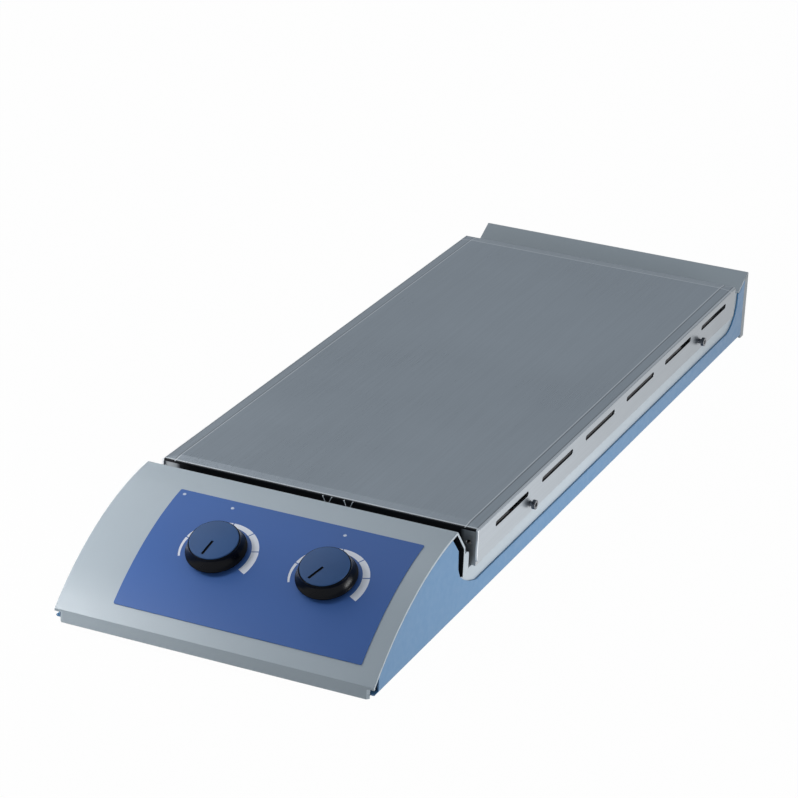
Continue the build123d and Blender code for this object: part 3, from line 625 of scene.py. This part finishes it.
class HOTPLATE_OT_knobs(bpy.types.Operator):
    """Turn the two knobs with their caps and pointer grooves"""

    bl_idname = "hotplate.knobs"
    bl_label = "Knobs"

    def execute(self, context):
        s = context.scene.hotplate_knobs
        skirt_finish = moulded("knob_skirt_black", rgb(0.002, 0.003, 0.006), 0.22, 0.0012, 0.04, 0.0002, 0.11)
        cap_finish = moulded("knob_cap_blue", rgb(0.033, 0.094, 0.245), 0.42, 0.0006, 0.1, 0.0002, 0.3)
        groove_finish = moulded("knob_groove_dark", rgb(0.004, 0.006, 0.010), 0.5, 0.0006, 0.1, 0.0002)
        top = s.height
        seat = s.cap + 0.04
        skirt = [
            (3.1, top - 2.6), (8.0, top - 2.6), (8.0, 0.85), (s.base - 1.8, 0.72), (s.base - 0.75, 1.6),
            (s.base - 0.18, 2.25), (s.base, 2.6), (s.base, 2.95), (s.base - 0.16, 3.3), (s.base - 0.5, 3.65),
            (s.top + 1.25, 5.6), (s.top + 0.45, 7.6), (s.top, top - 1.2), (s.top, top - 0.9), (s.top - 0.2, top - 0.64),
            (seat + 0.14, top - 0.6), (seat, top - 0.75), (seat, top - 1.9), (3.1, top - 1.9), (3.1, top - 2.6),
        ]
        cap = [
            (0.0, top - 1.85), (s.cap, top - 1.85), (s.cap, top - 0.34), (s.cap - 0.26, top - 0.07),
            (s.cap - 0.6, top), (0.0, top),
        ]
        for name, (x, turn) in KNOBS.items():
            place = panel_matrix(x, KNOB_BACK) @ Matrix.Rotation(math.radians(turn), 4, "Z")
            made = piece(name + "_knob_body", *lathe(skirt, 96, place), skirt_finish, name + "_knob", "knob_black")
            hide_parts(name + "_knob_skirt")
            verts, faces = lathe(cap, 96, Matrix.Identity(4))
            made = piece(name + "_knob_disc", verts, faces, cap_finish, name + "_knob", "knob_blue")
            cutter_mesh = bpy.data.meshes.new(name + "_groove_cutter")
            shape = bmesh.new()
            bmesh.ops.create_cube(shape, size=1.0)
            bmesh.ops.scale(shape, vec=(s.groove * MM, 10.4 * MM, 2.2 * MM), verts=shape.verts)
            bmesh.ops.translate(shape, vec=(0, 6.2 * MM, top * MM), verts=shape.verts)
            shape.to_mesh(cutter_mesh)
            shape.free()
            cutter = bpy.data.objects.new(name + "_groove_cutter", cutter_mesh)
            context.scene.collection.objects.link(cutter)
            cut = made.modifiers.new("groove", "BOOLEAN")
            cut.object = cutter
            cut.solver = "EXACT"
            context.view_layer.update()
            result = bpy.data.meshes.new_from_object(made.evaluated_get(context.evaluated_depsgraph_get()))
            made.modifiers.clear()
            made.data = result
            result.materials.clear()
            result.materials.append(cap_finish)
            result.materials.append(groove_finish)
            for face in result.polygons:
                middle = face.center / MM
                sunk = middle.z < top - 0.05 and abs(middle.x) < s.groove and middle.z > top - 1.3
                face.material_index = 1 if sunk and math.hypot(middle.x, middle.y) < s.cap - 1.0 else 0
            result.transform(place)
            result.shade_smooth()
            result.set_sharp_from_angle(angle=0.5)
            bpy.data.objects.remove(cutter)
            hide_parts(name + "_knob_cap")
        return {"FINISHED"}


class HOTPLATE_OT_scales(bpy.types.Operator):
    """Print the widening scale round each knob"""

    bl_idname = "hotplate.scales"
    bl_label = "Dial scales"

    def execute(self, context):
        s = context.scene.hotplate_knobs
        white = printed_white()
        first, last, step = 246.0, 477.0, 37.6
        for name, (x, turn) in KNOBS.items():
            verts = []
            faces = []
            for k in range(s.segments):
                a0 = first + k * step + (0.9 if k else 0.0)
                a1 = (first + (k + 1) * step if k < s.segments - 1 else last) - 0.9
                count = 14
                start = len(verts)
                for j in range(count + 1):
                    angle = a0 + (a1 - a0) * j / count
                    share = (angle - first) / (last - first)
                    width = s.scale_thin + (s.scale_wide - s.scale_thin) * share
                    a = math.radians(angle)
                    outer = s.scale_radius + s.scale_growth * share
                    for radius in (outer - width, outer):
                        for lift in (0.405, 0.445):
                            across = radius * math.sin(a)
                            along = radius * math.cos(a)
                            verts.append(panel_offset(x, KNOB_BACK, across, along, lift))
                for j in range(count):
                    b = start + 4 * j
                    n = b + 4
                    faces += [(b + 1, b + 3, n + 3, n + 1), (b, n, n + 2, b + 2), (b, b + 1, n + 1, n), (b + 2, n + 2, n + 3, b + 3)]
                e = start + 4 * count
                faces += [(start, start + 2, start + 3, start + 1), (e, e + 1, e + 3, e + 2)]
            piece(name + "_dial_scale", verts, faces, white, "housing", "film", smooth=False)
        return {"FINISHED"}


class HOTPLATE_OT_feet(bpy.types.Operator):
    """Turn the six rubber feet"""

    bl_idname = "hotplate.feet"
    bl_label = "Feet"

    def execute(self, context):
        rubber = moulded("foot_rubber", rgb(0.016, 0.016, 0.017), 0.72, 0.0009, 0.6)
        low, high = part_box("rubber_feet")
        profile = [(0.0, 0.6), (3.2, 0.6), (3.6, 0.0), (6.2, 0.0), (7.4, 0.5), (7.8, 1.6), (8.0, 6.0), (0.0, 6.0)]
        verts = []
        faces = []
        for x in (-78.0, 78.0):
            for back in (28.0, 300.0, 572.0):
                place = Matrix.Translation(Vector((x, FRONT + back, 0.0)) * MM)
                more, joined = lathe(profile, 40, place)
                faces += [tuple(i + len(verts) for i in face) for face in joined]
                verts += more
        made = piece("bench_feet", verts, faces, rubber, "housing", "black_rubber")
        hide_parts("rubber_feet")
        return {"FINISHED"}


class HOTPLATE_OT_stage(bpy.types.Operator):
    """Set the floor, the light and the camera"""

    bl_idname = "hotplate.stage"
    bl_label = "Stage"

    def execute(self, context):
        s = context.scene.hotplate_stage
        floor_mesh = bpy.data.meshes.new("studio_floor")
        floor_mesh.from_pydata([(-8, -8, 0), (8, -8, 0), (8, 8, 0), (-8, 8, 0)], [], [(0, 1, 2, 3)])
        floor = bpy.data.objects.new("studio_floor", floor_mesh)
        context.scene.collection.objects.link(floor)
        f = Finish("studio_floor_white")
        f.tree.nodes.remove(f.shader)
        output = f.tree.nodes["Material Output"]
        paths = f.node("ShaderNodeLightPath")
        seen = Value(f.tree, paths.outputs["Is Camera Ray"]) + Value(f.tree, paths.outputs["Is Glossy Ray"])
        seen = (seen + Value(f.tree, paths.outputs["Is Transmission Ray"])).clamped()
        matte = f.node("ShaderNodeBsdfDiffuse", Color=rgb(0.50, 0.50, 0.50))
        white = f.node("ShaderNodeEmission", Color=rgb(1, 1, 1), Strength=1.0)
        mix = f.node("ShaderNodeMixShader")
        f.plug(mix.inputs[0], seen * 0.985)
        f.plug(mix.inputs[1], matte.outputs[0])
        f.plug(mix.inputs[2], white.outputs[0])
        f.plug(output.inputs["Surface"], mix.outputs[0])
        floor_mesh.materials.append(f.material)
        self.sky(context, s)
        self.lamp(context, "key_light", (-1.6, 0.45, 1.4), (0.0, -0.1, 0.0), (2.0, 2.0), s.key * 1.62, 180)
        self.lamp(context, "left_light", (-0.55, -0.60, 0.55), (-0.25, -0.33, 0.02), (0.25, 0.25), s.key * 0.046, 42)
        self.lamp(context, "right_light", (0.62, -0.06, 0.055), (0.1, -0.06, 0.03), (0.5, 0.1), s.key * 0.13, 120)
        self.camera(context)
        context.scene.view_settings.view_transform = "Standard"
        return {"FINISHED"}

    def sky(self, context, s):
        """White to the eye, softer as light."""
        world = bpy.data.worlds.new("studio_sky")
        context.scene.world = world
        world.use_nodes = True
        tree = world.node_tree
        tree.nodes.clear()
        paths = tree.nodes.new("ShaderNodeLightPath")
        seen = Value(tree, paths.outputs["Is Camera Ray"]) + Value(tree, paths.outputs["Is Transmission Ray"])
        soft = tree.nodes.new("ShaderNodeBackground")
        soft.inputs["Color"].default_value = rgb(0.86, 0.93, 1.0)
        soft.inputs["Strength"].default_value = s.fill
        white = tree.nodes.new("ShaderNodeBackground")
        white.inputs["Color"].default_value = rgb(1, 1, 1)
        white.inputs["Strength"].default_value = 1.0
        mix = tree.nodes.new("ShaderNodeMixShader")
        tree.links.new(seen.clamped().socket, mix.inputs[0])
        tree.links.new(soft.outputs[0], mix.inputs[1])
        tree.links.new(white.outputs[0], mix.inputs[2])
        out = tree.nodes.new("ShaderNodeOutputWorld")
        tree.links.new(mix.outputs[0], out.inputs["Surface"])

    def lamp(self, context, name, place, target, size, power, spread):
        """One area light aimed at a point: size is its width and height, spread its beam in degrees."""
        data = bpy.data.lights.new(name, "AREA")
        data.shape = "RECTANGLE"
        data.size, data.size_y = size
        data.spread = math.radians(spread)
        data.energy = power
        lamp = bpy.data.objects.new(name, data)
        context.scene.collection.objects.link(lamp)
        lamp.location = place
        aim = Vector(target) - Vector(place)
        lamp.rotation_euler = aim.to_track_quat("-Z", "Y").to_euler()

    def camera(self, context):
        """Camera at the photograph's angle."""
        azimuth, elevation, roll = math.radians(23.239), math.radians(22.23), math.radians(2.743)
        target = Vector((-21.053, -10.0, 57.094)) * MM
        back = Vector((
            math.sin(azimuth) * math.cos(elevation), -math.cos(azimuth) * math.cos(elevation), math.sin(elevation),
        ))
        right = Vector((0, 0, 1)).cross(back).normalized()
        up = back.cross(right)
        right, up = right * math.cos(roll) + up * math.sin(roll), up * math.cos(roll) - right * math.sin(roll)
        data = bpy.data.cameras.new("view_camera")
        data.sensor_width = 36.0
        data.lens = 3148.177 / 798.0 * 36.0
        data.shift_x = -4.874 / 798.0
        data.shift_y = -19.213 / 798.0
        data.clip_start = 0.05
        camera = bpy.data.objects.new("view_camera", data)
        context.scene.collection.objects.link(camera)
        turn = Matrix((right, up, back)).transposed().to_4x4()
        camera.matrix_world = Matrix.Translation(target + back * 1901.107 * MM) @ turn
        context.scene.camera = camera


class HOTPLATE_PT_panel(bpy.types.Panel):
    """Buttons and settings for the hotplate stirrer"""

    bl_idname = "HOTPLATE_PT_panel"
    bl_label = "Hotplate stirrer"
    bl_space_type = "VIEW_3D"
    bl_region_type = "UI"
    bl_category = "Hotplate"

    def draw(self, context):
        for step in STEPS:
            self.layout.operator(step.bl_idname)
        for group in (context.scene.hotplate_housing, context.scene.hotplate_knobs, context.scene.hotplate_stage):
            for key in group.__annotations__:
                self.layout.prop(group, key)


STEPS = (
    HOTPLATE_OT_housing,
    HOTPLATE_OT_plate,
    HOTPLATE_OT_drive,
    HOTPLATE_OT_supply,
    HOTPLATE_OT_knobs,
    HOTPLATE_OT_scales,
    HOTPLATE_OT_feet,
    HOTPLATE_OT_stage,
)
CLASSES = (HousingSettings, KnobSettings, StageSettings) + STEPS + (HOTPLATE_PT_panel,)


def register():
    for cls in CLASSES:
        bpy.utils.register_class(cls)
    bpy.types.Scene.hotplate_housing = PointerProperty(type=HousingSettings)
    bpy.types.Scene.hotplate_knobs = PointerProperty(type=KnobSettings)
    bpy.types.Scene.hotplate_stage = PointerProperty(type=StageSettings)


def unregister():
    del bpy.types.Scene.hotplate_stage
    del bpy.types.Scene.hotplate_knobs
    del bpy.types.Scene.hotplate_housing
    for cls in reversed(CLASSES):
        bpy.utils.unregister_class(cls)


def main():
    register()
    for step in STEPS:
        group, name = step.bl_idname.split(".")
        getattr(getattr(bpy.ops, group), name)()


if __name__ == "__main__":
    main()
